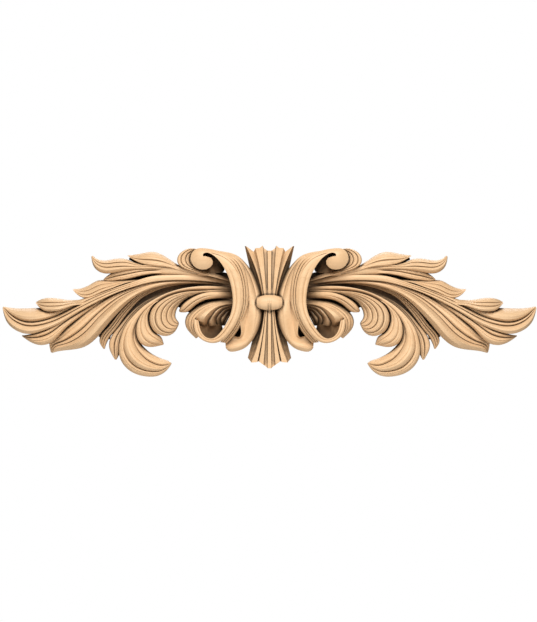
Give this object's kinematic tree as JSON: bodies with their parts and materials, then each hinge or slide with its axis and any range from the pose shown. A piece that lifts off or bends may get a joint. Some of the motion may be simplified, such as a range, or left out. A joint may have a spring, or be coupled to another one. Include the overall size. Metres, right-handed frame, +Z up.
{
  "type": "carved crest applique",
  "caption": "Carved wooden crest applique of acanthus leaves springing from scroll straps and a tied fan, with a flat back, for the head of furniture or joinery.",
  "frame": {"origin": "on the flat back, on the centre line, behind the middle of the bead", "axes": "+X to the right across both leaf tips, +Z up, +Y into the surface that the back is fixed to; the carved face looks along -Y"},
  "size_m": [0.5996, 0.0489, 0.1468],
  "materials": {
    "carved_wood": "sanded bare wood, closed fine grain"
  },
  "bodies": {
    "root": {"crest_applique": "carved_wood"}
  },
  "joints": []
}
